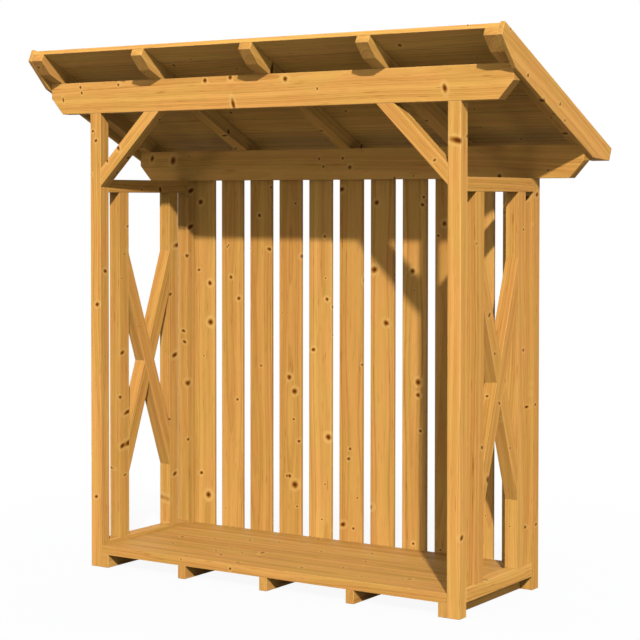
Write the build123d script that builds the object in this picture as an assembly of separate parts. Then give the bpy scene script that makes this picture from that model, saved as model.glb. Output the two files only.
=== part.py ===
"""Open timber log store with a mono-pitch boarded roof.

Millimetres. +X runs along the open front to the right, +Y from the front to the back and
+Z up. The origin lies on the ground, at the centre of the rectangle of the four corner
posts. The roof falls from the front to the back.
"""
import math
import os

from build123d import *

# Corner frame: four posts, a beam across each pair
FRAME_WIDTH = 1945
FRAME_DEPTH = 733
FRONT_POST_HEIGHT = 2115
BACK_POST_HEIGHT = 1808
POST = 60

BEAM_HEIGHT = 145
BEAM_OVERHANG = 236
BEAM_END_RUN = 68
BEAM_END_RISE = 76

# Knee braces between the front posts and the front beam, cut at 45 degrees
BRACE_WIDTH = 60
BRACE_LEG = 340

# Side walls: two rails, two studs and a halved St Andrew's cross
RAIL = 60
STUD = 60
STUD_WIDTH = 68
STUD_GAP = 79.5
CROSS_WIDTH = 69.5
CROSS_RISE = 850
CROSS_CENTRE = 942

# Base: bearers from front to back, floor boards from side to side
BEARER_WIDTH = 40
BEARER_HEIGHT = 60
BEARER_COUNT = 5
FLOOR_THICKNESS = 41
FLOOR_BOARDS = 5
FLOOR_GAP = 1

# Back wall: upright slats on the back of the beam and of the floor, spaced evenly
SLAT_WIDTH = 126
SLAT_SIDE_LAP = 6
SLAT_THICKNESS = 18
SLAT_COUNT = 11
SLAT_BOTTOM = 25
SLAT_LAP = 95

# Roof: rafters, tongued and grooved boards, barge boards on the two ends
RAFTER_WIDTH = 63
RAFTER_DEPTH = 63
RAFTER_COUNT = 5
ROOF_OVERHANG = 121
ROOF_LENGTH = 1143
BOARD_THICKNESS = 20
BOARD_COUNT = 8
BARGE_THICKNESS = 20
BARGE_DEPTH = 122
BARGE_RISE = 8
END_FACE = 52
END_CUT_RUN = 162

# Fits
SEAM = 0.3
TONGUE = 6
TONGUE_THICKNESS = 6
SEAM_CHAMFER = 2.5

HALF_WIDTH = FRAME_WIDTH / 2
FRONT = -FRAME_DEPTH / 2
BACK = FRAME_DEPTH / 2
POST_FACE = HALF_WIDTH - POST
FLOOR_TOP = BEARER_HEIGHT + FLOOR_THICKNESS
FRONT_BEAM_TOP = FRONT_POST_HEIGHT + BEAM_HEIGHT
BACK_BEAM_TOP = BACK_POST_HEIGHT + BEAM_HEIGHT
BEAM_HALF = HALF_WIDTH + BEAM_OVERHANG

# The underside of the rafters passes over the front top edge of each beam
BACK_BEAM_FACE = BACK - POST
PITCH = math.atan2(FRONT_BEAM_TOP - BACK_BEAM_TOP, BACK_BEAM_FACE - FRONT)
RAFTER_BASE = BOARD_THICKNESS + RAFTER_DEPTH
ROOF_EDGE_HEIGHT = FRONT_BEAM_TOP + RAFTER_BASE / math.cos(PITCH) + ROOF_OVERHANG * math.tan(PITCH)


def box(x, y, z):
    """Solid box from three (low, high) pairs."""
    size = Box(x[1] - x[0], y[1] - y[0], z[1] - z[0], align=Align.MIN)
    return Pos(x[0], y[0], z[0]) * size


def roof_point(along, below, x=0):
    """Point in the roof's own axes: down the slope from the front edge, and square below
    the top of the boards."""
    y = FRONT - ROOF_OVERHANG + along * math.cos(PITCH) - below * math.sin(PITCH)
    z = ROOF_EDGE_HEIGHT - along * math.sin(PITCH) - below * math.cos(PITCH)
    return Vector(x, y, z)


def prism(wire, thickness, direction):
    """Straight extrusion of a closed flat outline."""
    return extrude(make_face(wire), amount=thickness, dir=direction)


def save(node, *solids):
    """Write one node as the solids that it holds."""
    shape = solids[0] if len(solids) == 1 else Compound(children=list(solids))
    shape.label = node
    export_step(shape, f"parts/{node}.step")


def mirrored(shape):
    return mirror(shape, about=Plane.YZ)


# --- corner frame -----------------------------------------------------------------


def corner_posts():
    width = (POST_FACE, HALF_WIDTH)
    front = box(width, (FRONT, FRONT + POST), (0, FRONT_POST_HEIGHT))
    back = box(width, (BACK_BEAM_FACE, BACK), (0, BACK_POST_HEIGHT))
    save("front_post_right", front)
    save("front_post_left", mirrored(front))
    save("back_post_right", back)
    save("back_post_left", mirrored(back))


def beam(front_face, bottom):
    """Beam with its lower corners cut off at both ends."""
    top = bottom + BEAM_HEIGHT
    cut_height = bottom + BEAM_END_RISE
    cut_start = BEAM_HALF - BEAM_END_RUN
    outline = [
        (-cut_start, bottom),
        (cut_start, bottom),
        (BEAM_HALF, cut_height),
        (BEAM_HALF, top),
        (-BEAM_HALF, top),
        (-BEAM_HALF, cut_height),
    ]
    wire = Polyline(*[(x, front_face, z) for x, z in outline], close=True)
    return prism(wire, POST, (0, 1, 0))


def front_brace():
    """Right-hand knee brace, seated on the post's inner face and under the beam."""
    beam_face = FRONT_POST_HEIGHT
    short_leg = BRACE_LEG - BRACE_WIDTH * math.sqrt(2)
    outline = [
        (POST_FACE, beam_face - BRACE_LEG),
        (POST_FACE, beam_face - short_leg),
        (POST_FACE - short_leg, beam_face),
        (POST_FACE - BRACE_LEG, beam_face),
    ]
    wire = Polyline(*[(x, FRONT, z) for x, z in outline], close=True)
    return prism(wire, POST, (0, 1, 0))


def front_and_back_beams():
    front = beam(FRONT, FRONT_POST_HEIGHT)
    back = beam(BACK_BEAM_FACE, BACK_POST_HEIGHT)
    save("front_beam", front)
    save("back_beam", back)
    return front, back


def front_braces():
    brace = front_brace()
    save("front_brace_right", brace)
    save("front_brace_left", mirrored(brace))


# --- side walls -------------------------------------------------------------------


def cross_member(rising):
    """One arm of the cross, cut upright where it seats on the two studs."""
    high_y = BACK_BEAM_FACE - STUD_GAP - STUD_WIDTH
    low_y = -high_y
    start = CROSS_CENTRE - rising * CROSS_RISE / 2
    end = CROSS_CENTRE + rising * CROSS_RISE / 2
    slope = math.atan2(abs(end - start), high_y - low_y)
    half = CROSS_WIDTH / 2 / math.cos(slope)
    outline = [
        (low_y, start - half),
        (high_y, end - half),
        (high_y, end + half),
        (low_y, start + half),
    ]
    inner = HALF_WIDTH - STUD
    wire = Polyline(*[(inner, y, z) for y, z in outline], close=True)
    return prism(wire, STUD, (1, 0, 0))


def cross_pair():
    """The two arms, halved over each other so that both faces of the cross are flush."""
    falling = cross_member(-1)
    rising = cross_member(1)
    lap = falling & rising
    mid = HALF_WIDTH - STUD / 2
    reach = (FRONT, BACK)
    tall = (0, FRONT_POST_HEIGHT)
    outer_half = box((mid, HALF_WIDTH), reach, tall)
    inner_half = box((HALF_WIDTH - STUD, mid), reach, tall)
    return falling - (lap & outer_half), rising - (lap & inner_half)


def side_wall():
    """Pieces of the right-hand wall, by name."""
    outer = (HALF_WIDTH - RAIL, HALF_WIDTH)
    between_posts = (FRONT + POST, BACK_BEAM_FACE)
    bottom_rail_top = BEARER_HEIGHT + RAIL
    top_rail_bottom = BACK_POST_HEIGHT - RAIL
    studs = (HALF_WIDTH - STUD, HALF_WIDTH)
    stud_height = (bottom_rail_top, top_rail_bottom)
    front_stud = FRONT + POST + STUD_GAP
    back_stud = BACK_BEAM_FACE - STUD_GAP - STUD_WIDTH
    falling, rising = cross_pair()
    return {
        "bottom_rail": box(outer, between_posts, (BEARER_HEIGHT, bottom_rail_top)),
        "top_rail": box(outer, between_posts, (top_rail_bottom, BACK_POST_HEIGHT)),
        "front_stud": box(studs, (front_stud, front_stud + STUD_WIDTH), stud_height),
        "back_stud": box(studs, (back_stud, back_stud + STUD_WIDTH), stud_height),
        "cross_falling": falling,
        "cross_rising": rising,
    }


def side_walls():
    for piece, solid in side_wall().items():
        save(f"right_wall_{piece}", solid)
        save(f"left_wall_{piece}", mirrored(solid))


# --- floor and back wall ----------------------------------------------------------


def bearers():
    """Evenly spaced bearers on the ground, the outer two against the corner posts."""
    outermost = POST_FACE - BEARER_WIDTH / 2
    step = 2 * outermost / (BEARER_COUNT - 1)
    for i in range(BEARER_COUNT):
        centre = -outermost + i * step
        width = (centre - BEARER_WIDTH / 2, centre + BEARER_WIDTH / 2)
        save(f"bearer_{i + 1}", box(width, (FRONT, BACK), (0, BEARER_HEIGHT)))


def floor_boards():
    length = (-POST_FACE, POST_FACE)
    width = (FRAME_DEPTH - FLOOR_GAP * (FLOOR_BOARDS - 1)) / FLOOR_BOARDS
    for i in range(FLOOR_BOARDS):
        front = FRONT + i * (width + FLOOR_GAP)
        board = box(length, (front, front + width), (BEARER_HEIGHT, FLOOR_TOP))
        save(f"floor_board_{i + 1}", board)


def back_slats():
    """Slats fixed to the outside of the back beam and of the floor."""
    outermost = POST_FACE + SLAT_SIDE_LAP - SLAT_WIDTH / 2
    step = 2 * outermost / (SLAT_COUNT - 1)
    depth = (BACK, BACK + SLAT_THICKNESS)
    height = (SLAT_BOTTOM, BACK_POST_HEIGHT + SLAT_LAP)
    slats = []
    for i in range(SLAT_COUNT):
        centre = -outermost + i * step
        slats.append(box((centre - SLAT_WIDTH / 2, centre + SLAT_WIDTH / 2), depth, height))
    save("back_slats", *slats)


# --- roof -------------------------------------------------------------------------


def roof_timber_outline(x, top, bottom):
    """Side outline of a roof timber: its lower corners are cut off at both ends."""
    run = END_CUT_RUN * (bottom - END_FACE) / (BARGE_DEPTH - BARGE_RISE - END_FACE)
    return Polyline(
        roof_point(0, top, x),
        roof_point(0, END_FACE, x),
        roof_point(run, bottom, x),
        roof_point(ROOF_LENGTH - run, bottom, x),
        roof_point(ROOF_LENGTH, END_FACE, x),
        roof_point(ROOF_LENGTH, top, x),
        close=True,
    )


def rafters(front, back):
    """Rafters, notched over both beams."""
    outermost = BEAM_HALF - RAFTER_WIDTH / 2
    step = 2 * outermost / (RAFTER_COUNT - 1)
    for i in range(RAFTER_COUNT):
        side = -outermost + i * step - RAFTER_WIDTH / 2
        outline = roof_timber_outline(side, BOARD_THICKNESS, RAFTER_BASE)
        timber = prism(outline, RAFTER_WIDTH, (1, 0, 0))
        save(f"rafter_{i + 1}", timber - front - back)


def barge_boards():
    base = BARGE_DEPTH - BARGE_RISE
    outline = roof_timber_outline(BEAM_HALF, -BARGE_RISE, base)
    board = prism(outline, BARGE_THICKNESS, (1, 0, 0))
    save("barge_board_right", board)
    save("barge_board_left", mirrored(board))


def roof_board(start, end, tongue, groove):
    """One roof board: tongue uphill, groove downhill, chamfered seams underneath."""
    middle = BOARD_THICKNESS / 2
    low = middle + TONGUE_THICKNESS / 2
    high = middle - TONGUE_THICKNESS / 2
    cut = SEAM_CHAMFER
    outline = [(start, 0)]
    if tongue:
        outline += [(start, high), (start - TONGUE, high), (start - TONGUE, low), (start, low)]
        outline += [(start, BOARD_THICKNESS - cut), (start + cut, BOARD_THICKNESS)]
    else:
        outline += [(start, BOARD_THICKNESS)]
    if groove:
        deep = end - TONGUE - 2 * SEAM
        outline += [(end - cut, BOARD_THICKNESS), (end, BOARD_THICKNESS - cut)]
        outline += [(end, low + SEAM), (deep, low + SEAM), (deep, high - SEAM), (end, high - SEAM)]
    else:
        outline += [(end, BOARD_THICKNESS)]
    outline += [(end, 0)]
    points = [roof_point(along, below, -BEAM_HALF) for along, below in outline]
    return prism(Polyline(*points, close=True), 2 * BEAM_HALF, (1, 0, 0))


def roof_boards():
    cover = ROOF_LENGTH / BOARD_COUNT
    boards = []
    for i in range(BOARD_COUNT):
        last = i == BOARD_COUNT - 1
        end = (i + 1) * cover - (0 if last else SEAM)
        boards.append(roof_board(i * cover, end, tongue=i > 0, groove=not last))
    save("roof_boards", *boards)


os.makedirs("parts", exist_ok=True)
corner_posts()
front, back = front_and_back_beams()
front_braces()
side_walls()
bearers()
floor_boards()
back_slats()
rafters(front, back)
barge_boards()
roof_boards()
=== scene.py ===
# %% [markdown]
# # An open log store in stained softwood
# The store is a frame of square posts and deep beams. It has crossed side walls, a slatted back,
# a raised floor and a boarded roof that falls to the back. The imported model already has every
# joint in its place, so this lesson gives each timber what a saw, a planer and a tin of stain
# give it: eased edges, wood that runs the right way, and a honey-brown finish.

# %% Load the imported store
import math
import random

import bmesh
import bpy
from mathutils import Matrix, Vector


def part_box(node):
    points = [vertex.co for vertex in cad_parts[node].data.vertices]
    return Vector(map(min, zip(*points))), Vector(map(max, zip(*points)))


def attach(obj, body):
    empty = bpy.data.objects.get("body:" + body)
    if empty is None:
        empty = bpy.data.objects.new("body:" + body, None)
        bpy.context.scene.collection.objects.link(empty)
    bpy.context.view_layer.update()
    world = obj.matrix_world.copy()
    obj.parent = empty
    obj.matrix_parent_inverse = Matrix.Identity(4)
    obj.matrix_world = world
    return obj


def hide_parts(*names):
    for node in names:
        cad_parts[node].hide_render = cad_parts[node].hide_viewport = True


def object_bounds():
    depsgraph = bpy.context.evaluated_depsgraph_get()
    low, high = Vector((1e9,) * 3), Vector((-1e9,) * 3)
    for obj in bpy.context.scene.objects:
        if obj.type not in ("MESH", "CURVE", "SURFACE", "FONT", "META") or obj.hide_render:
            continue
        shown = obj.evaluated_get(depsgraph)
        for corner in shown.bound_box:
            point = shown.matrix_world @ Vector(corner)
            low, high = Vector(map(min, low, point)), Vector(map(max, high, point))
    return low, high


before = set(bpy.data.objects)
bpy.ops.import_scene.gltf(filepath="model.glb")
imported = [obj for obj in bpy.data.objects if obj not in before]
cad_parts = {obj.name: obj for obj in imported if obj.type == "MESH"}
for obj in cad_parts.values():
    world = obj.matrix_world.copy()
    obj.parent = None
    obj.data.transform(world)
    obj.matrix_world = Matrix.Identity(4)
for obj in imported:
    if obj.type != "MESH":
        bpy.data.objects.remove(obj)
packed_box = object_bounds()
packed_size = [round(side, 3) for side in packed_box[1] - packed_box[0]]
print("packed nodes:", len(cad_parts), "in a box of", packed_size)

# %% [markdown]
# ## A helper for node trees
# Shaders and Geometry Nodes are both graphs. Written out link by link they are long, so a small
# bench holds a tree and puts one node on it at a time: its kind, what feeds it, and which
# output comes back. A few sums that come up again and again have a short name of their own. The
# rest of the lesson then reads like arithmetic.

# %% The bench
class Bench:
    """Puts nodes on one tree and wires what feeds them."""

    def __init__(self, tree):
        self.tree = tree

    def feed(self, socket, value):
        """Links an output to a socket, or sets a plain value on it."""
        if isinstance(value, bpy.types.NodeSocket):
            self.tree.links.new(value, socket)
        elif value is not None:
            socket.default_value = value

    def add(self, kind, feeds=(), **settings):
        """Puts one node on the tree: settings first, because they can change its sockets."""
        node = self.tree.nodes.new(kind)
        for name, value in settings.items():
            setattr(node, name, value)
        for socket, value in feeds.items() if isinstance(feeds, dict) else enumerate(feeds):
            self.feed(node.inputs[socket], value)
        return node

    def put(self, kind, feeds=(), gives=0, **settings):
        """Puts one node on the tree and gives back one of its outputs."""
        return self.add(kind, feeds, **settings).outputs[gives]

    def math(self, operation, *feeds, clamp=False):
        return self.put("ShaderNodeMath", feeds, operation=operation, use_clamp=clamp)

    def times(self, first, second):
        return self.math("MULTIPLY", first, second)

    def plus(self, first, second):
        return self.math("ADD", first, second)

    def line(self, value, slope, start):
        """value * slope + start"""
        return self.math("MULTIPLY_ADD", value, slope, start)

    def centred(self, noise, width):
        """Noise from 0 to 1, made as wide as this and moved to lie about 0."""
        return self.line(noise, width, -width / 2)

    def length(self, first, second):
        """How long a step is, from its two parts."""
        return self.math("SQRT", self.plus(self.times(first, first), self.times(second, second)))

    def weighed(self, start, masks, weights):
        """A starting value, plus each mask times its weight."""
        for mask, weight in weights.items():
            start = self.line(masks[mask], weight, start)
        return start

    def ramp(self, value, low, high, to_low=0.0, to_high=1.0):
        """A smooth step between two ends."""
        feeds = {"Value": value, "From Min": low, "From Max": high,
                 "To Min": to_low, "To Max": to_high}
        return self.put("ShaderNodeMapRange", feeds, interpolation_type="SMOOTHSTEP")

    def mix(self, amount, first, second, how="MIX"):
        """Two colours in one. Sockets 0, 6, 7 and 2 are the colour ones of this node."""
        return self.put("ShaderNodeMix", {0: amount, 6: first, 7: second}, 2,
                        data_type="RGBA", blend_type=how)


def new_group(name, takes, gives, tree_kind="ShaderNodeTree"):
    """A node group with named sockets: its bench, what comes in and the node that goes out."""
    tree = bpy.data.node_groups.new(name, tree_kind)
    for label, kind, start in takes:
        socket = tree.interface.new_socket(label, in_out="INPUT", socket_type=f"NodeSocket{kind}")
        if start is not None:
            socket.default_value = start
    for label, kind in gives:
        tree.interface.new_socket(label, in_out="OUTPUT", socket_type=f"NodeSocket{kind}")
    given, result = tree.nodes.new("NodeGroupInput"), tree.nodes.new("NodeGroupOutput")
    return Bench(tree), given.outputs, result.inputs


# %% [markdown]
# ## Where branches met the trunk
# A knot is a branch cut across. In the tree each branch is a cone that starts at the heart and
# points outwards, so the knot on one face of a post continues on the next. A flat spot texture
# could not do that. This group works in the trunk's own axes instead: it splits the trunk into
# lengths, lets one branch leave each length in a random direction, and measures how far a
# point is from that branch, in branch radii. The branch climbs as it grows outwards, so the
# lengths are counted on cones and no branch is cut off where two of them meet. The group also
# says how far the branch pushed the year rings outwards, because that is what makes the grain
# flow round a knot.

# %% Branches
BRANCH_START = (0.30, 0.35)  # where in its length a branch leaves the heart: spread, and least
BRANCH_GIRTH = (0.90, 0.45)  # its radius, as a share of the one that is given: spread, and least
FULL_GIRTH_AT = 0.028  # metres from the heart to where a branch is as thick as it gets
THINNEST = 0.00005  # metres, so that nothing is divided by 0
SWELLING_FADES = 0.26  # with the square of the branch radii away
SWELLING_PUSH = 1.1  # branch radii by which a ring is pushed out at most


def branch_group():
    takes = [("Trunk Point", "Vector", None), ("Length", "Float", 0.3),
             ("Radius", "Float", 0.008), ("Climb", "Float", 0.35), ("Series", "Float", 1.0)]
    gives = [("Radii Away", "Float"), ("Swelling", "Float")]
    bench, given, result = new_group("branches", takes, gives)
    times, plus, line = bench.times, bench.plus, bench.line

    along, across, through = bench.add("ShaderNodeSeparateXYZ", [given["Trunk Point"]]).outputs
    climbed = times(bench.length(across, through), given["Climb"])
    level = bench.math("SUBTRACT", along, climbed)
    part = bench.math("FLOOR", bench.math("DIVIDE", level, given["Length"]))
    throw = bench.put("ShaderNodeCombineXYZ", [part, given["Series"], 0.0])
    dice = bench.put("ShaderNodeTexWhiteNoise", {"Vector": throw}, "Color", noise_dimensions="3D")
    place, turn, girth = bench.add("ShaderNodeSeparateColor", [dice]).outputs

    start = times(plus(part, line(place, *BRANCH_START)), given["Length"])
    angle = times(turn, 2 * math.pi)
    cosine, sine = bench.math("COSINE", angle), bench.math("SINE", angle)
    out = plus(times(across, cosine), times(through, sine))
    aside = bench.math("SUBTRACT", times(through, cosine), times(across, sine))
    away = bench.length(bench.math("SUBTRACT", level, start), aside)
    cone = bench.math("MULTIPLY", out, 1 / FULL_GIRTH_AT, clamp=True)
    size = times(given["Radius"], times(line(girth, *BRANCH_GIRTH), cone))
    size = bench.math("MAXIMUM", size, THINNEST)
    radii = bench.math("DIVIDE", away, size)
    fall = bench.math("EXPONENT", times(times(radii, radii), -SWELLING_FADES))
    bench.feed(result["Radii Away"], radii)
    bench.feed(result["Swelling"], times(fall, times(size, SWELLING_PUSH)))
    return bench.tree


branches = branch_group()
print("branch group:", len(branches.nodes), "nodes")

# %% [markdown]
# ## Sawn softwood
# A board is a slice through a trunk, and its grain is where the slice meets the year rings.
# The group therefore measures a point's distance from the heart, which wanders a little along
# the trunk, and cuts that distance into years. Seen square on, the years are straight lines;
# where a face only grazes them they open into tall arches, as on real boards. Each year ends in
# a thin dark line of late wood, and broad pale and dark years give the soft streaks that can
# be seen from some way off. It puts out masks only, so one group serves every board of the store.

# %% Softwood
WOOD_MASKS = ("Late Wood", "Streak", "Fibre", "Fleck", "Blush", "Knot", "Halo", "Bloom")
BRANCHES = [  # three kinds: metres of trunk for each branch, its radius in metres and its climb
    (0.210, 0.0082, 0.2), (0.150, 0.0062, 0.3), (0.130, 0.0042, 0.25)]
WANDER = {"Scale": 0.7, "Detail": 1.0}  # how the heart strays along the trunk
WANDER_WIDTH = (0.04, 0.03)  # metres in all, across and through
GRAIN = {  # features per metre along and across the grain, and how much finer detail
    "uneven": (1.9, 18, 2.0), "streak": (2.6, 60, 2.0), "fibre": (18, 620, 3.0),
    "fleck": (9, 190, 1.0), "blush": (3.1, 11, 1.0), "ragged": (90, 90, 1.0)}
UNEVEN_RINGS = 0.009  # metres in all by which a ring is out of round
LATE_FROM, LATE_PEAK = 0.3, 0.94  # parts of a year
LATE_WEIGHT = (0.85, 0.15)  # how dark a year's line is: spread, and least
BROAD_YEARS = {"Scale": 62.0, "Detail": 1.5}
BROAD_SHARE = 0.6  # of the streaks, the rest being short ones
KNOT_EDGE = 0.5  # branch radii in all by which a knot is ragged
SHOWS = {  # where a mask is 0 and where it is 1: on noise from 0 to 1, or in branch radii away
    "Streak": (0.33, 0.67), "Fleck": (0.63, 0.78), "Blush": (0.36, 0.64),
    # Bloom is the ring round a knot where the stain paints a highlight
    "Knot": (1.0, 0.55), "Halo": (1.8, 0.95), "Bloom": (3.4, 1.9)}


def softwood_group():
    takes = [("Trunk Point", "Vector", None), ("Year", "Float", 0.0042),
             ("Knot Size", "Float", 1.0)]
    gives = [(mask, "Float") for mask in WOOD_MASKS]
    bench, given, result = new_group("softwood", takes, gives)
    times, plus, ramp = bench.times, bench.plus, bench.ramp

    along, across, through = bench.add("ShaderNodeSeparateXYZ", [given["Trunk Point"]]).outputs
    drift = bench.put("ShaderNodeTexNoise", {"W": along, **WANDER}, "Color", noise_dimensions="1D")
    strays = bench.add("ShaderNodeSeparateColor", [drift]).outputs
    across = plus(across, bench.centred(strays[0], WANDER_WIDTH[0]))
    through = plus(through, bench.centred(strays[1], WANDER_WIDTH[1]))
    trunk = bench.put("ShaderNodeCombineXYZ", [along, across, through])

    swelling, nearest = [], []
    for series, (length, radius, climb) in enumerate(BRANCHES):
        branch = bench.add("ShaderNodeGroup", {
            "Trunk Point": trunk, "Length": length, "Radius": times(given["Knot Size"], radius),
            "Climb": climb, "Series": series + 0.5}, node_tree=branches).outputs
        swelling.append(branch["Swelling"])
        nearest.append(branch["Radii Away"])
    swelling = plus(plus(*swelling[:2]), swelling[2])
    nearest = bench.math("MINIMUM", bench.math("MINIMUM", *nearest[:2]), nearest[2])

    def grain(name):
        """Noise that is drawn out along the grain."""
        lengthwise, sideways, detail = GRAIN[name]
        point = bench.put("ShaderNodeCombineXYZ", [
            times(along, lengthwise), times(across, sideways), times(through, sideways)])
        feeds = {"Vector": point, "Scale": 1.0, "Detail": detail}
        return bench.put("ShaderNodeTexNoise", feeds, "Fac", noise_dimensions="3D")

    uneven = bench.centred(grain("uneven"), UNEVEN_RINGS)
    ring = plus(plus(bench.length(across, through), uneven), swelling)
    year = bench.math("DIVIDE", ring, given["Year"])
    season = bench.math("FRACT", year)
    which = {"W": bench.math("FLOOR", year)}
    weight = bench.put("ShaderNodeTexWhiteNoise", which, "Value", noise_dimensions="1D")
    weight = bench.line(bench.math("POWER", weight, 2.0), *LATE_WEIGHT)
    late = times(ramp(season, LATE_FROM, LATE_PEAK), ramp(season, 1.0, LATE_PEAK))
    broad = {"W": ring, **BROAD_YEARS}
    broad = bench.put("ShaderNodeTexNoise", broad, "Fac", noise_dimensions="1D")
    streak = plus(times(broad, BROAD_SHARE), times(grain("streak"), 1 - BROAD_SHARE))
    edge = plus(nearest, bench.centred(grain("ragged"), KNOT_EDGE))

    bench.feed(result["Late Wood"], times(late, weight))
    bench.feed(result["Fibre"], grain("fibre"))
    measured = {"Streak": streak, "Fleck": grain("fleck"), "Blush": grain("blush"),
                "Knot": edge, "Halo": edge, "Bloom": edge}
    for mask, value in measured.items():
        bench.feed(result[mask], ramp(value, *SHOWS[mask]))
    return bench.tree


softwood = softwood_group()
print("softwood group:", len(softwood.nodes), "nodes")

# %% [markdown]
# ## The stain
# The finish is a thin honey-brown wood stain, which is not paint: the grain shows through it.
# Streaks, flecks, fibres and late wood come out deep, and the wood between them stays pale. Over
# that lie a few thin layers, each where its mask says: a pale ring round a knot, which is a
# painted highlight, the dark ring round it, the knot itself, sawn ends, which hold more stain,
# the seams between boards, painted darker as shade in the grooves, and eased edges, painted paler
# as a highlight along them. So the stain takes the masks of the wood beneath and turns them into a
# colour, a roughness and a height, painted light and shade included. Every timber also has a tone
# of its own: in the rows it differs at random, and on single timbers it is partly the timber's own
# and partly painted light and shade that make up for how much light reaches it.

# %% Stain
MARKS = ("Tone", "End Grain", "Seam", "Eased")  # what is marked on the mesh, and not in the wood
DEEPER = {"Streak": 0.34, "Fleck": 0.45, "Fibre": 0.36}  # how far from pale to deep
LATE_DEEPER = (-0.30, 0.42)  # the same for late wood: the change on a sawn end, and elsewhere
BLUSH = (1.03, 0.96, 1.04, 1)  # what the colour is multiplied with in the blushes
LAYERS = [  # a mask, how much of it shows, and the colour that it lays over the stain
    # Bloom: a pale ring round each knot, a painted highlight
    ("Bloom", 0.42, (1.0, 0.60, 0.18, 1)),
    ("Halo", 0.85, (0.44, 0.140, 0.012, 1)),
    ("Knot", 1.0, (0.165, 0.040, 0.003, 1)),
    ("End Grain", 0.18, (0.30, 0.115, 0.022, 1)),
    # Seam: painted shade in the grooves between roof boards
    ("Seam", 0.45, (0.20, 0.070, 0.010, 1)),
    # Eased: a painted highlight along the eased edges
    ("Eased", 0.22, (0.95, 0.60, 0.24, 1)),
]
TONE_WIDTH = (0.14, 0.20, 0.26)  # from the darkest timber to the palest, in red, green and blue
ROUGHNESS = 0.58
ROUGHER = {"Late Wood": -0.10, "Fibre": 0.10, "End Grain": 0.20, "Knot": -0.14}
HIGHER = {"Late Wood": 0.5, "Fibre": 0.5, "Knot": 0.6}


def stain_and_painted_light_group():
    takes = [(name, "Float", 0.0) for name in WOOD_MASKS + MARKS]
    takes += [("Pale", "Color", (0.9, 0.46, 0.12, 1)), ("Deep", "Color", (0.62, 0.26, 0.05, 1))]
    gives = [("Colour", "Color"), ("Roughness", "Float"), ("Height", "Float")]
    bench, given, result = new_group("stain_and_painted_light", takes, gives)

    late = bench.times(given["Late Wood"], bench.line(given["End Grain"], *LATE_DEEPER))
    depth = bench.weighed(-DEEPER["Fibre"] / 2, given, DEEPER)
    depth = bench.math("ADD", depth, late, clamp=True)
    colour = bench.mix(depth, given["Pale"], given["Deep"])
    colour = bench.mix(given["Blush"], colour, bench.mix(1.0, colour, BLUSH, "MULTIPLY"))
    for mask, amount, laid in LAYERS:
        colour = bench.mix(bench.times(given[mask], amount), colour, laid)
    parts = [bench.line(given["Tone"], width, 1 - width / 2) for width in TONE_WIDTH]
    tone = bench.put("ShaderNodeCombineColor", parts)
    bench.feed(result["Colour"], bench.mix(1.0, colour, tone, "MULTIPLY"))
    bench.feed(result["Roughness"], bench.weighed(ROUGHNESS, given, ROUGHER))
    bench.feed(result["Height"], bench.weighed(0.0, given, HIGHER))
    return bench.tree


stain_and_painted_light = stain_and_painted_light_group()
print("stain group:", len(stain_and_painted_light.nodes), "nodes")

# %% [markdown]
# ## One finish for each kind of timber
# The two groups are joined in a material, and each kind of timber gets its own: the frame was
# planed from knotty square sections, the roof boards are narrower and finer. The floor boards and
# slats are also made darker, a painted shade, and the roof boards paler and less orange, a painted
# light in the shade under the roof. The trunk point is an attribute on the mesh, in metres, so the
# wood is as large as the board it is on and the pattern cannot slide when the store is moved.
#
# Orange wood makes its neighbours more orange, and under a roof the light goes from board to
# board many times. With the stain's full colour the shade there came out too bright and too
# red. So light that one timber passes on to another, which Light Path calls a diffuse ray, takes
# a duller and darker colour. What is seen directly keeps its own.

# %% Timber materials
PALE, DEEP = (0.95, 0.495, 0.115), (0.47, 0.168, 0.022)
PASSED_ON = (0.24, 0.228, 0.172, 1)
SHINE = 0.05  # the stain is nearly matt
RELIEF = {"Strength": 0.2, "Distance": 0.0005}
FINISHES = {  # slot: name, width of a year, size of the knots, and the stain times red, green, blue
    "frame_timber": ("planed_frame_stain_and_painted_light", 0.0075, 1.1, (1.0, 1.0, 1.0)),
    # floor boards and slats made darker, a painted shade; roof boards paler and less orange, a
    # painted light
    "floor_timber": ("floor_board_stain_and_painted_light", 0.0075, 0.8, (0.90, 0.90, 0.90)),
    "slat_timber": ("back_slat_stain_and_painted_light", 0.0070, 1.2, (0.93, 0.93, 0.93)),
    "roof_board_timber": ("roof_board_stain_and_painted_light", 0.0055, 0.65, (1.02, 1.05, 1.08)),
}


def attribute_name(mark):
    return mark.lower().replace(" ", "_")


def timber_finish(name, year, knot_size, factors):
    material = bpy.data.materials.new(name)
    material.use_nodes = True
    bench, shader = Bench(material.node_tree), material.node_tree.nodes["Principled BSDF"]

    def marked(mark, gives="Fac"):
        """What is marked on the mesh."""
        return bench.put("ShaderNodeAttribute", (), gives,
                         attribute_type="GEOMETRY", attribute_name=attribute_name(mark))

    wood = bench.add("ShaderNodeGroup", {
        "Trunk Point": marked("Trunk Point", "Vector"), "Year": year, "Knot Size": knot_size},
        node_tree=softwood).outputs
    feeds = {mask: wood[mask] for mask in WOOD_MASKS} | {mark: marked(mark) for mark in MARKS}
    for end, colour in (("Pale", PALE), ("Deep", DEEP)):
        feeds[end] = (*(part * factor for part, factor in zip(colour, factors)), 1)
    stain = bench.add("ShaderNodeGroup", feeds, node_tree=stain_and_painted_light).outputs

    passed_on = bench.put("ShaderNodeLightPath", (), "Is Diffuse Ray")
    bench.feed(shader.inputs["Base Color"], bench.mix(passed_on, stain["Colour"], PASSED_ON))
    bench.feed(shader.inputs["Roughness"], stain["Roughness"])
    shader.inputs["Specular IOR Level"].default_value = SHINE
    relief = bench.put("ShaderNodeBump", RELIEF | {"Height": stain["Height"]}, "Normal")
    bench.feed(shader.inputs["Normal"], relief)
    return material


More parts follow.
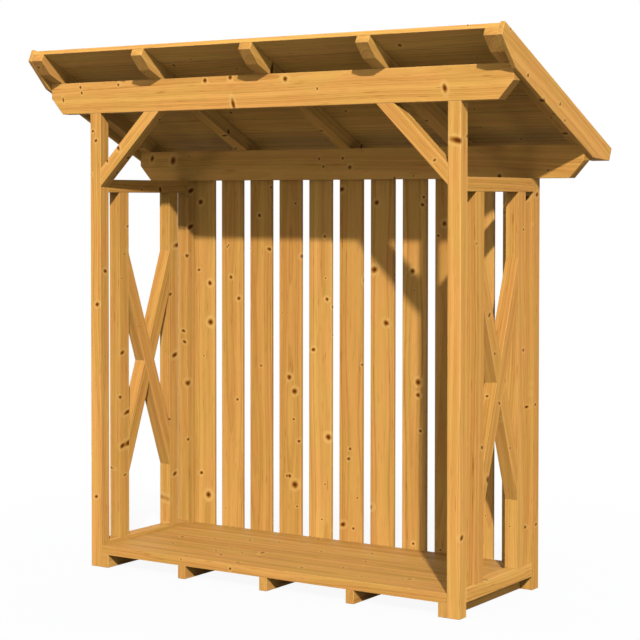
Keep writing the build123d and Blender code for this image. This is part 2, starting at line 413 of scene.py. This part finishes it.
finishes = {slot: timber_finish(*made) for slot, made in FINISHES.items()}
print("finishes:", list(finishes))

# %% [markdown]
# ## Planing a timber
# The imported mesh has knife-sharp edges, and no planed timber has. Each timber is copied, its
# triangles are merged back into whole faces, and every outer corner is taken off with a small
# two-step bevel. Then the wood is set into it. The longest edge tells which way the trunk ran
# and the broadest face which way the saw went. The heart of the trunk is placed somewhere
# near the section, with a slight lean, by a dice that is seeded with the timber's name.

# %% The wood in a timber
TRUNK = 40  # metres of trunk, of which every timber is cut from a place of its own
HEART = ((0.052, 0.075), (0.055, 0.085))  # metres from a timber's middle to the heart, both ways
LEAN = 0.012
END_GRAIN_FROM, END_GRAIN_FULL = 0.3, 0.9  # how squarely a face must cut the grain


def corners_of(faces):
    """The corners of some faces, each once and always in the same order."""
    return sorted({v for f in faces for v in f.verts}, key=lambda v: v.index)


def middle_of(corners):
    return sum((v.co for v in corners), Vector()) / len(corners)


def grain_axes(faces):
    """Unit vectors along, across and through one timber."""
    edges = sorted({e for f in faces for e in f.edges}, key=lambda e: e.index)
    longest = max(edges, key=lambda e: round(e.calc_length(), 5))
    along = (longest.verts[1].co - longest.verts[0].co).normalized()
    along = along if max(along, key=abs) > 0 else -along
    flats = [f for f in faces if abs(f.normal.dot(along)) < END_GRAIN_FROM]
    through = max(flats, key=lambda f: round(f.calc_area(), 6)).normal.copy()
    through = (through - along * through.dot(along)).normalized()
    return along, through.cross(along), through


def set_wood(bm, faces, dice=None, tone=0.5):
    """Marks one timber with its place in the trunk, its tone and its sawn ends."""
    along, across, through = grain_axes(faces)
    corners = corners_of(faces)
    middle = middle_of(corners)
    start, lean = Vector(), (0, 0)
    if dice:
        start = Vector((dice.uniform(0, TRUNK),
                        *(dice.choice((-1, 1)) * dice.uniform(*away) for away in HEART)))
        lean = (dice.uniform(-LEAN, LEAN), dice.uniform(-LEAN, LEAN))
    point, shade = bm.verts.layers.float_vector["trunk_point"], bm.verts.layers.float["tone"]
    for corner in corners:
        away = corner.co - middle
        run = away.dot(along)
        corner[point] = start + Vector((run, away.dot(across) + lean[0] * run,
                                        away.dot(through) + lean[1] * run))
        corner[shade] = tone
    for face in faces:
        cut = (abs(face.normal.dot(along)) - END_GRAIN_FROM) / (END_GRAIN_FULL - END_GRAIN_FROM)
        face[bm.faces.layers.float["end_grain"]] = max(0.0, min(1.0, cut))


# %% Whole faces and eased edges
SAME_PLACE = 0.00001  # metres
SAME_PLANE = 0.01  # radians
SHARP = 0.5  # radians
EASE, EASE_CLOSE_BOARDS, EASE_CLOSE_POSTS = 0.002, 0.0007, 0.0004  # metres


def opened(node):
    """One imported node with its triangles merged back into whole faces, ready to be marked."""
    bm = bmesh.new()
    bm.from_mesh(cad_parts[node].data)
    bmesh.ops.remove_doubles(bm, verts=bm.verts, dist=SAME_PLACE)
    bmesh.ops.dissolve_limit(bm, angle_limit=SAME_PLANE, verts=bm.verts, edges=bm.edges)
    bm.verts.layers.float_vector.new("trunk_point")
    bm.verts.layers.float.new("tone")
    for mark in ("end_grain", "seam", "eased"):
        bm.faces.layers.float.new(mark)
    for kind in (bm.verts, bm.edges, bm.faces):
        kind.index_update()
    return bm


def islands(bm):
    """The separate solids of a mesh, as lists of faces."""
    left, found = set(bm.faces), []
    while left:
        stack, group = [left.pop()], []
        while stack:
            face = stack.pop()
            group.append(face)
            for near in {f for e in face.edges for f in e.link_faces} & left:
                left.discard(near)
                stack.append(near)
        found.append(sorted(group, key=lambda f: f.index))

    def place(group):
        return tuple(round(c, 4) for c in group[0].calc_center_median())

    return sorted(found, key=place)


def eased_mesh(bm, name, ease):
    """Takes the sharp outer corners off and turns the result into a mesh."""
    sharp = [e for e in bm.edges if e.is_convex and e.calc_face_angle(0) > SHARP]
    made = bmesh.ops.bevel(bm, geom=sharp, offset=ease, offset_type="OFFSET", segments=2,
                           profile=0.5, affect="EDGES", clamp_overlap=True)
    # the bevel faces are marked eased, and the stain paints them paler: a painted highlight along
    # the edges
    for face in made["faces"]:
        face[bm.faces.layers.float["eased"]] = 1.0
        face.smooth = True
    mesh = bpy.data.meshes.new(name)
    bm.to_mesh(mesh)
    bm.free()
    return mesh


# %% [markdown]
# ## Single timbers
# Posts, beams, braces, rails, studs, crosses and barge boards each stay a piece of their own. So
# do the roof boards, which share a node. Tongued boards meet in narrow bevels, and those faces are
# marked as seams, which the stain paints darker as shade in the grooves. Timbers that stand close
# get finer edges, so that no line of light shows between them.

# %% Single timbers
# Tones are partly each timber's own and partly painted light and shade: they were set for each
# piece to make up for how much light reaches it, such as darker ones inside the store and under the
# roof.
TONES = {  # how pale a timber is, from 0 to 1, by the first of these that is in its name
    "left_wall_bottom_rail": 0.1, "front_beam": 0.60, "front_post_left": 0.50,
    "front_post_right": 0.70, "front_brace_left": 0.95, "front_brace_right": 0.35,
    "back_beam": 0.15, "back_post": 0.20, "cross": 0.05, "top_rail": 0.15, "bottom_rail": 0.95,
    "right_wall_front": 0.25, "right_wall_back": 0.70, "left_wall": 0.3, "barge_board": 0.75}
OTHER_TONES = (0.2, 0.8)
SEAM_FACE = 0.009  # metres: a face of the roof boards that is narrower belongs to a seam
ROWS = {  # piece: how its nodes' names start, its slot, its seed and its ease
    "bearers_timber": ("bearer", "frame_timber", 3, EASE),
    "rafters_timber": ("rafter", "frame_timber", 4, EASE),
    "floor_boards_timber": ("floor_board", "floor_timber", 5, EASE_CLOSE_BOARDS),
    "back_slats_timber": ("back_slats", "slat_timber", 6, EASE),
}


def planed(node, ease, seam=0.0):
    """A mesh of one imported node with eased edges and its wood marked, solid by solid."""
    bm = opened(node)
    for number, faces in enumerate(islands(bm)):
        dice = random.Random(f"{node} {number}")
        # a single timber's tone: partly its own, partly painted light and shade
        tone = next((TONES[name] for name in TONES if name in node), dice.uniform(*OTHER_TONES))
        set_wood(bm, faces, dice, tone)
        # narrow faces of the roof boards are marked as seams, which the stain paints darker:
        # painted shade in the grooves
        for face in faces:
            if face.calc_area() / max(e.calc_length() for e in face.edges) < seam:
                face[bm.faces.layers.float["seam"]] = 1.0
    return eased_mesh(bm, node + "_planed", ease)


def fit(name, mesh, slot, *nodes):
    """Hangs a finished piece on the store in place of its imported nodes."""
    piece = bpy.data.objects.new(name, mesh)
    bpy.context.scene.collection.objects.link(piece)
    mesh.materials.clear()
    mesh.materials.append(finishes[slot])
    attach(piece, "root")
    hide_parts(*nodes)


in_rows = tuple(start for start, *_ in ROWS.values())
singles = [node for node in sorted(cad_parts) if not node.startswith(in_rows)]
for node in singles:
    if node == "roof_boards":
        fit(node + "_timber", planed(node, EASE_CLOSE_BOARDS, SEAM_FACE), "roof_board_timber", node)
    else:
        close = "stud" in node or "back_post" in node
        mesh = planed(node, EASE_CLOSE_POSTS if close else EASE)
        fit(node + "_timber", mesh, "frame_timber", node)
print("single timbers planed:", len(singles))

# %% [markdown]
# ## Rows of equal timbers
# The slats, floor boards, rafters and bearers are rows: one timber, again and again at one
# spacing. That is work for Geometry Nodes. The tree takes one planed timber, sets copies
# along a line and gives each copy its own place in the trunk and its own tone, by random
# values with a fixed seed. Some copies are turned end for end, or heart side out, as a joiner
# would do with boards from one pack. Without this every slat would show the same knots. At the
# end the copies are made real and given their finish.

# %% The tree for a row
def chance(bench, kind, low, high, seed):
    """A random value for every copy, between two ends, from a seed."""
    node = bench.add("FunctionNodeRandomValue", data_type=kind)
    for label, value in (("Min", low), ("Max", high)):
        bench.feed(next(s for s in node.inputs if s.name == label and s.enabled), value)
    bench.feed(node.inputs["Seed"], seed)
    return next(s for s in node.outputs if s.enabled)


def row_tree():
    takes = [("Timber", "Geometry", None), ("Count", "Int", 5), ("Step", "Vector", None),
             ("Seed", "Int", 0), ("Off Centre", "Float", 0.04), ("Heart Near", "Float", 0.045),
             ("Heart Far", "Float", 0.10), ("Finish", "Material", None)]
    bench, given, result = new_group("row_of_timbers", takes, [("Row", "Geometry")],
                                     "GeometryNodeTree")
    put = bench.put

    def named(name, kind="FLOAT_VECTOR"):
        return put("GeometryNodeInputNamedAttribute", {"Name": name}, "Attribute", data_type=kind)

    def stored(shape, name, value, domain, kind="FLOAT_VECTOR"):
        feeds = {"Geometry": shape, "Name": name, "Value": value}
        return put("GeometryNodeStoreNamedAttribute", feeds, data_type=kind, domain=domain)

    def vectors(operation, *feeds):
        return put("ShaderNodeVectorMath", feeds, operation=operation)

    line = put("GeometryNodeMeshLine", {"Count": given["Count"], "Offset": given["Step"]},
               mode="OFFSET")
    row = put("GeometryNodeInstanceOnPoints", {"Points": line, "Instance": given["Timber"]})
    left = bench.times(given["Off Centre"], -1.0)
    low = put("ShaderNodeCombineXYZ", [0.0, left, given["Heart Near"]])
    high = put("ShaderNodeCombineXYZ", [float(TRUNK), given["Off Centre"], given["Heart Far"]])
    start_seed, tone_seed, turn_seed = (bench.plus(given["Seed"], number) for number in range(3))
    start = chance(bench, "FLOAT_VECTOR", low, high, start_seed)
    turned = chance(bench, "FLOAT_VECTOR", (-1, -1, -1), (1, 1, 1), turn_seed)
    tone = chance(bench, "FLOAT", 0.0, 1.0, tone_seed)
    row = stored(row, "row_start", start, "INSTANCE")
    row = stored(row, "row_turned", vectors("SIGN", turned), "INSTANCE")
    row = stored(row, "row_tone", tone, "INSTANCE", "FLOAT")

    row = put("GeometryNodeRealizeInstances", [row])
    moved = vectors("ADD", named("trunk_point"), named("row_start"))
    row = stored(row, "trunk_point", vectors("MULTIPLY", moved, named("row_turned")), "POINT")
    row = stored(row, "tone", named("row_tone", "FLOAT"), "POINT", "FLOAT")
    row = put("GeometryNodeSetMaterial", {"Geometry": row, "Material": given["Finish"]})
    bench.feed(result["Row"], row)
    return bench.tree


row_of_timbers = row_tree()
print("row tree:", len(row_of_timbers.nodes), "nodes")


# %% From a tree to a plain mesh
def grown(name, mesh, tree, **sizes):
    """The plain mesh that a Geometry Nodes tree makes of a mesh. Input names have _ for a space."""
    holder = bpy.data.objects.new(name, mesh)
    bpy.context.scene.collection.objects.link(holder)
    modifier = holder.modifiers.new(tree.name, "NODES")
    modifier.node_group = tree
    sockets = {s.name: s.identifier for s in tree.interface.items_tree if s.in_out == "INPUT"}
    for label, value in sizes.items():
        modifier[sockets[label.replace("_", " ")]] = value
    graph = bpy.context.evaluated_depsgraph_get()
    made = bpy.data.meshes.new_from_object(holder.evaluated_get(graph),
                                           preserve_all_data_layers=True, depsgraph=graph)
    holder.modifiers.remove(modifier)
    bpy.data.objects.remove(holder)
    made.name = name
    return made


# %% Rows on the store
def middles(nodes):
    """The middle of every solid of some nodes, in order along the row."""
    found = []
    for node in nodes:
        bm = opened(node)
        found += [middle_of(corners_of(faces)) for faces in islands(bm)]
        bm.free()
    return found


def row(name, start, slot, seed, ease):
    """Puts a row of equal timbers in place of the nodes whose names start alike."""
    nodes = [node for node in sorted(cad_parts) if node.startswith(start)]
    places = middles(nodes)
    step = (places[-1] - places[0]) / (len(places) - 1)
    bm = opened(nodes[0])
    first, *others = islands(bm)
    bmesh.ops.delete(bm, geom=[f for faces in others for f in faces], context="FACES")
    set_wood(bm, first)
    mesh = grown(name, eased_mesh(bm, name + "_first", ease), row_of_timbers, Count=len(places),
                 Step=step, Seed=seed, Finish=finishes[slot])
    fit(name, mesh, slot, *nodes)
    return places


row_places = {name: row(name, *made) for name, made in ROWS.items()}
print("rows:", {name: len(places) for name, places in row_places.items()})

# %% [markdown]
# ## Screws and nails
# From behind one sees how the boards are held: each slat has two screws into the beam and two
# into the floor, and each roof board has two nails into every rafter. A head is a small turned
# part, so it is modelled once, with a rounded rim and, on a screw, a star recess for the driver.
# Geometry Nodes set copies of it on a cloud of points: each copy faces out of the timber and is
# spun at random about its own axis, as a driver leaves it.

# %% One head
RIM = ((1.0, -0.5), (1.0, 0.55), (0.88, 1.0))  # radius and height, each as a share
RECESS = (0.56, 0.48)  # radius of its mouth and of its floor
RECESS_FLOOR = 0.15
LOBE = 0.17  # how far a lobe of the star stands out, as a share


def head_mesh(name, radius, proud, corners, lobes=0):
    """A round head that faces up. It has a star recess if it has lobes."""
    star = [(RECESS[0], 1.0), (RECESS[1], RECESS_FLOOR if lobes else 1.0)]
    bm = bmesh.new()
    loops = []
    for size, height in [*RIM, *star]:
        lobed = LOBE if lobes and (size, height) in star else 0.0
        turns = [2 * math.pi * corner / corners for corner in range(corners)]
        reaches = [radius * size * (1 + lobed * math.cos(lobes * turn)) for turn in turns]
        loops.append([bm.verts.new((reach * math.cos(turn), reach * math.sin(turn), proud * height))
                      for turn, reach in zip(turns, reaches)])
    for low, high in zip(loops, loops[1:]):
        for corner in range(corners):
            after = (corner + 1) % corners
            bm.faces.new((low[corner], low[after], high[after], high[corner]))
    bm.faces.new(list(reversed(loops[0])))
    bm.faces.new(loops[-1])
    mesh = bpy.data.meshes.new(name)
    bm.to_mesh(mesh)
    bm.free()
    return mesh


screw_head = head_mesh("screw_head", radius=0.0045, proud=0.0010, corners=24, lobes=6)
nail_head = head_mesh("nail_head", radius=0.0035, proud=0.0005, corners=12)
print("heads:", len(screw_head.polygons), "and", len(nail_head.polygons), "faces")


# %% The tree for driven heads
def heads_tree():
    takes = [("Places", "Geometry", None), ("Head", "Object", None),
             ("Facing", "Vector", (0, 0, 1)), ("Seed", "Int", 0), ("Finish", "Material", None)]
    bench, given, result = new_group("driven_heads", takes, [("Heads", "Geometry")],
                                     "GeometryNodeTree")
    put = bench.put
    head = put("GeometryNodeObjectInfo", {"Object": given["Head"]}, "Geometry")
    spin = chance(bench, "FLOAT", 0.0, 2 * math.pi, given["Seed"])
    spun = put("FunctionNodeAxisAngleToRotation", {"Axis": (0, 0, 1), "Angle": spin})
    outwards = put("FunctionNodeAlignRotationToVector", {"Vector": given["Facing"]}, axis="Z")
    turned = put("FunctionNodeRotateRotation", {"Rotation": outwards, "Rotate By": spun},
                 rotation_space="LOCAL")
    heads = put("GeometryNodeInstanceOnPoints",
                {"Points": given["Places"], "Instance": head, "Rotation": turned})
    heads = put("GeometryNodeRealizeInstances", [heads])
    heads = put("GeometryNodeSetMaterial", {"Geometry": heads, "Material": given["Finish"]})
    bench.feed(result["Heads"], heads)
    return bench.tree


driven_heads = heads_tree()
print("heads tree:", len(driven_heads.nodes), "nodes")

# %% [markdown]
# The heads are zinc-plated steel that has gone a little dull outdoors. It is a bare metal, so its
# colour is the colour of its reflections, and a cloudy bloom in colour and roughness keeps it
# from looking like new chrome.

# %% Dull zinc
ZINC_DARK, ZINC_PALE = (0.20, 0.19, 0.17, 1), (0.40, 0.39, 0.36, 1)
ZINC_DULL, ZINC_BRIGHT = 0.55, 0.36  # roughness
CLOUD = {"Scale": 420.0, "Detail": 3.0}
BLOOM_ENDS = (0.3, 0.7)  # of the cloud


def dull_zinc():
    material = bpy.data.materials.new("dull_zinc")
    material.use_nodes = True
    bench, shader = Bench(material.node_tree), material.node_tree.nodes["Principled BSDF"]
    place = bench.put("ShaderNodeTexCoord", (), "Object")
    cloud = bench.put("ShaderNodeTexNoise", {"Vector": place, **CLOUD}, "Fac")
    colour = bench.mix(bench.ramp(cloud, *BLOOM_ENDS), ZINC_DARK, ZINC_PALE)
    bench.feed(shader.inputs["Base Color"], colour)
    roughness = bench.ramp(cloud, *BLOOM_ENDS, ZINC_DULL, ZINC_BRIGHT)
    bench.feed(shader.inputs["Roughness"], roughness)
    shader.inputs["Metallic"].default_value = 1.0
    return material


zinc = dull_zinc()
print("metal finish:", zinc.name)


# %% Screws through the slats
SCREWS_ASIDE = 0.038  # metres from the middle of a slat


def drive(name, places, facing, head, seed):
    """Sets a head at every place and hangs them on the store as one piece."""
    cloud = bpy.data.meshes.new(name + "_places")
    cloud.from_pydata([tuple(place) for place in places], [], [])
    pattern = bpy.data.objects.new(name + "_pattern", head)
    bpy.context.scene.collection.objects.link(pattern)
    mesh = grown(name, cloud, driven_heads, Head=pattern, Facing=facing, Seed=seed, Finish=zinc)
    bpy.data.objects.remove(pattern)
    piece = bpy.data.objects.new(name, mesh)
    bpy.context.scene.collection.objects.link(piece)
    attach(piece, "root")
    print(name, len(places), "heads,", len(mesh.polygons), "faces")


slats, beam, back_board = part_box("back_slats"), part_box("back_beam"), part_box("floor_board_5")
into_floor = (back_board[0].z + back_board[1].z) / 2
into_beam = (beam[0].z + slats[1].z) / 2
screws = [Vector((slat.x + aside, slats[1].y, height)) for slat in row_places["back_slats_timber"]
          for height in (into_floor, into_beam) for aside in (-SCREWS_ASIDE, SCREWS_ASIDE)]
drive("slat_screws", screws, (0, 1, 0), screw_head, seed=21)


# %% Nails through the roof boards
NAILS_APART = 0.075  # metres, on one board
ALONG_SLIP, ACROSS_SLIP = 0.003, 0.008  # metres by which a nail misses its mark


def nail_places(node, rafters):
    """Two places on top of every board over every rafter, and the way that the roof faces."""
    bm = opened(node)
    boards = [[corner.co.copy() for corner in corners_of(faces)] for faces in islands(bm)]
    bm.free()
    centres = sorted((sum(board, Vector()) / len(board) for board in boards), key=lambda c: c.y)
    fall = (centres[-1] - centres[0]).normalized()
    up = Vector((1, 0, 0)).cross(fall).normalized()
    dice, places = random.Random("roof nails"), []
    for board in boards:
        reaches = [corner.dot(fall) for corner in board]
        top, middle = max(corner.dot(up) for corner in board), (min(reaches) + max(reaches)) / 2
        for rafter in rafters:
            for aside in (-NAILS_APART / 2, NAILS_APART / 2):
                along = middle + aside + dice.uniform(-ALONG_SLIP, ALONG_SLIP)
                across = rafter.x + dice.uniform(-ACROSS_SLIP, ACROSS_SLIP)
                places.append(Vector((across, 0, 0)) + fall * along + up * top)
    return places, up


nails, roof_up = nail_places("roof_boards", row_places["rafters_timber"])
drive("roof_nails", nails, roof_up, nail_head, seed=22)

# %% [markdown]
# ## Floor and backdrop
# The store stands on a plain white floor that runs out into a white backdrop. Near the store the
# floor is a matt surface for a small part and keeps the store's shadow, and further off it
# fades to pure white. That is only for rays that see it directly, from the camera or in a
# reflection. To every other ray the floor is dark, so that it does not flood the underside of
# the roof, and the backdrop is a weak sky, a shade cooler than white.

# %% Floor and backdrop
FLOOR_HALF, FLOOR_TOP = 40.0, -0.0005  # metres; the feet must not lie in the floor's own plane
FLOOR_SEEN, FLOOR_LIT = (0.93, 0.93, 0.93, 1), (0.12, 0.12, 0.12, 1)
WHITE = (1, 1, 1, 1)
FADE = (1.2, 3.4, 0.93, 1.0)  # metres from the middle, near and far, and how white there
SKY, SKY_STRENGTH = (0.92, 1.0, 1.04, 1), 0.37


def seen_directly(bench):
    """1 for rays that show the backdrop as it is, and 0 for rays that light the store."""
    rays = bench.add("ShaderNodeLightPath").outputs
    mirrored = bench.math("MAXIMUM", rays["Is Glossy Ray"], rays["Is Transmission Ray"])
    return bench.math("MAXIMUM", rays["Is Camera Ray"], mirrored)


def floor_paint():
    material = bpy.data.materials.new("studio_floor_paint")
    material.use_nodes = True
    bench, nodes = Bench(material.node_tree), material.node_tree.nodes
    unseen = nodes["Principled BSDF"]
    unseen.inputs["Base Color"].default_value = FLOOR_LIT
    unseen.inputs["Roughness"].default_value = 1.0
    unseen.inputs["Specular IOR Level"].default_value = 0.0
    place = bench.put("ShaderNodeNewGeometry", (), "Position")
    distance = bench.put("ShaderNodeVectorMath", [place], "Value", operation="LENGTH")
    matt = bench.put("ShaderNodeBsdfDiffuse", {"Color": FLOOR_SEEN})
    white = bench.put("ShaderNodeEmission", {"Color": WHITE, "Strength": 1.0})
    seen = bench.put("ShaderNodeMixShader", [bench.ramp(distance, *FADE), matt, white])
    both = bench.put("ShaderNodeMixShader", [seen_directly(bench), unseen.outputs[0], seen])
    bench.feed(nodes["Material Output"].inputs["Surface"], both)
    return material


def studio_floor():
    mesh = bpy.data.meshes.new("studio_floor")
    signs = ((-1, -1), (1, -1), (1, 1), (-1, 1))
    corners = [(x * FLOOR_HALF, y * FLOOR_HALF, FLOOR_TOP) for x, y in signs]
    mesh.from_pydata(corners, [], [(0, 1, 2, 3)])
    mesh.materials.append(floor_paint())
    floor = bpy.data.objects.new("studio_floor", mesh)
    bpy.context.scene.collection.objects.link(floor)


def studio_sky():
    world = bpy.data.worlds.new("studio")
    world.use_nodes = True
    bpy.context.scene.world = world
    bench, sky = Bench(world.node_tree), world.node_tree.nodes["Background"].inputs
    direct = seen_directly(bench)
    bench.feed(sky["Color"], bench.mix(direct, SKY, WHITE))
    bench.feed(sky["Strength"], bench.line(direct, 1.0 - SKY_STRENGTH, SKY_STRENGTH))


studio_floor()
studio_sky()
print("floor reaches", FLOOR_HALF, "m each way, sky strength", SKY_STRENGTH)

# %% [markdown]
# ## Light
# The key light is like a slightly soft sun, a third of the way up the sky on the front right. A
# weak fill from straight in front lifts the fronts. A wide lamp near the ground, far out to the
# right, reaches in under the eaves. The last is a very soft light from behind and the left, so
# that those sides are not lost in shade.

# %% Lamps
def lamp(name, kind, energy, towards, place=(0, 0, 3), **settings):
    """A lamp that shines towards something. The camera doesn't see it."""
    light = bpy.data.lights.new(name, kind)
    light.energy = energy
    for key, value in settings.items():
        setattr(light, key, value)
    holder = bpy.data.objects.new(name, light)
    holder.visible_camera = False
    holder.location = place
    holder.rotation_mode = "QUATERNION"
    holder.rotation_quaternion = Vector(towards).to_track_quat("-Z", "Y")
    bpy.context.scene.collection.objects.link(holder)


lamp("key", "SUN", 2.85, (-0.74, 1.0, -0.81), angle=math.radians(1.6))
lamp("front_fill", "SUN", 0.25, (0.0, 1.0, -0.02), angle=math.radians(10))
lamp("side_fill", "AREA", 42, (-9.0, 0.9, 1.5), (9.0, -1.0, 0.4),
     shape="RECTANGLE", size=3.0, size_y=0.6)
lamp("back_fill", "SUN", 0.40, (0.6, -1.0, -0.3), angle=math.radians(60))

# %% [markdown]
# ## Camera
# A long lens from the front right, a little under the eaves and tilted down by less than two
# degrees. The shift does the rest of the framing, so the posts stay nearly upright.

# %% Camera
LENS_DOWN, LENS_LEFT = math.radians(1.62), math.radians(34.03)

camera = bpy.data.objects.new("camera", bpy.data.cameras.new("camera"))
bpy.context.scene.collection.objects.link(camera)
camera.location = (4.398, -6.782, 1.714)
camera.rotation_euler = (math.radians(90) - LENS_DOWN, 0, LENS_LEFT)
camera.data.lens = 100.4
camera.data.shift_x = 0.070
camera.data.shift_y = -0.109
bpy.context.scene.camera = camera
bpy.context.scene.view_settings.view_transform = "Standard"
print("camera:", [round(v, 3) for v in camera.location], "lens", round(camera.data.lens, 1), "mm")
